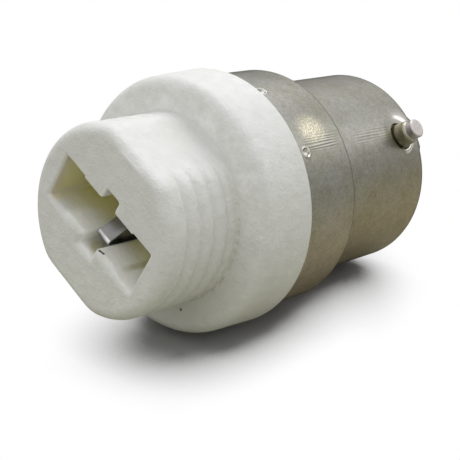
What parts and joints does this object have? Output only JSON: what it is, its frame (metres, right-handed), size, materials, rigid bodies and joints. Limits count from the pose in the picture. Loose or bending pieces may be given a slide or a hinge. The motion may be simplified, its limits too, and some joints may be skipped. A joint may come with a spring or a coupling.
{
  "type": "lamp socket adapter",
  "caption": "Lamp socket adapter: a metal bayonet cap with side pins, joined to a flanged off-white ceramic socket whose grooved nose has a cross-shaped slot for a two-pin capsule lamp.",
  "frame": {"origin": "on the cap's axis, in the plane of the two end contacts' faces", "axes": "+Z along the cap's axis, towards the socket's slotted face; +X along the slot's length; +Y across the slot"},
  "size_m": [0.0272, 0.0272, 0.0423],
  "materials": {
    "ceramic": "matt, fired off-white",
    "cover_ceramic": "matt, fired off-white",
    "shell": "drawn and dull nickel plated",
    "pin": "turned brass, nickel plated",
    "insulator": "black moulded thermoset",
    "contact_strip": "nickel plated strip",
    "spring_steel": "bright spring strip",
    "contact_plate": "bare pressed brass",
    "solder": "dull solder",
    "wire": "tinned wire",
    "sleeve": "woven glass sleeve"
  },
  "bodies": {
    "root": {"ceramic_body": "ceramic", "rear_cover": "cover_ceramic", "retaining_spring": "spring_steel", "cap_shell": "shell", "end_insulator": "insulator", "bayonet_pin_front": "pin", "bayonet_pin_back": "pin", "contact_clip_left": "contact_strip", "backing_spring_left": "spring_steel", "crimp_ferrule_left": "contact_strip", "lead_wire_left": "wire", "wire_sleeve_left": "sleeve", "end_contact_left": "contact_plate", "solder_tip_left": "solder", "contact_clip_right": "contact_strip", "backing_spring_right": "spring_steel", "crimp_ferrule_right": "contact_strip", "lead_wire_right": "wire", "wire_sleeve_right": "sleeve", "end_contact_right": "contact_plate", "solder_tip_right": "solder"}
  },
  "joints": []
}
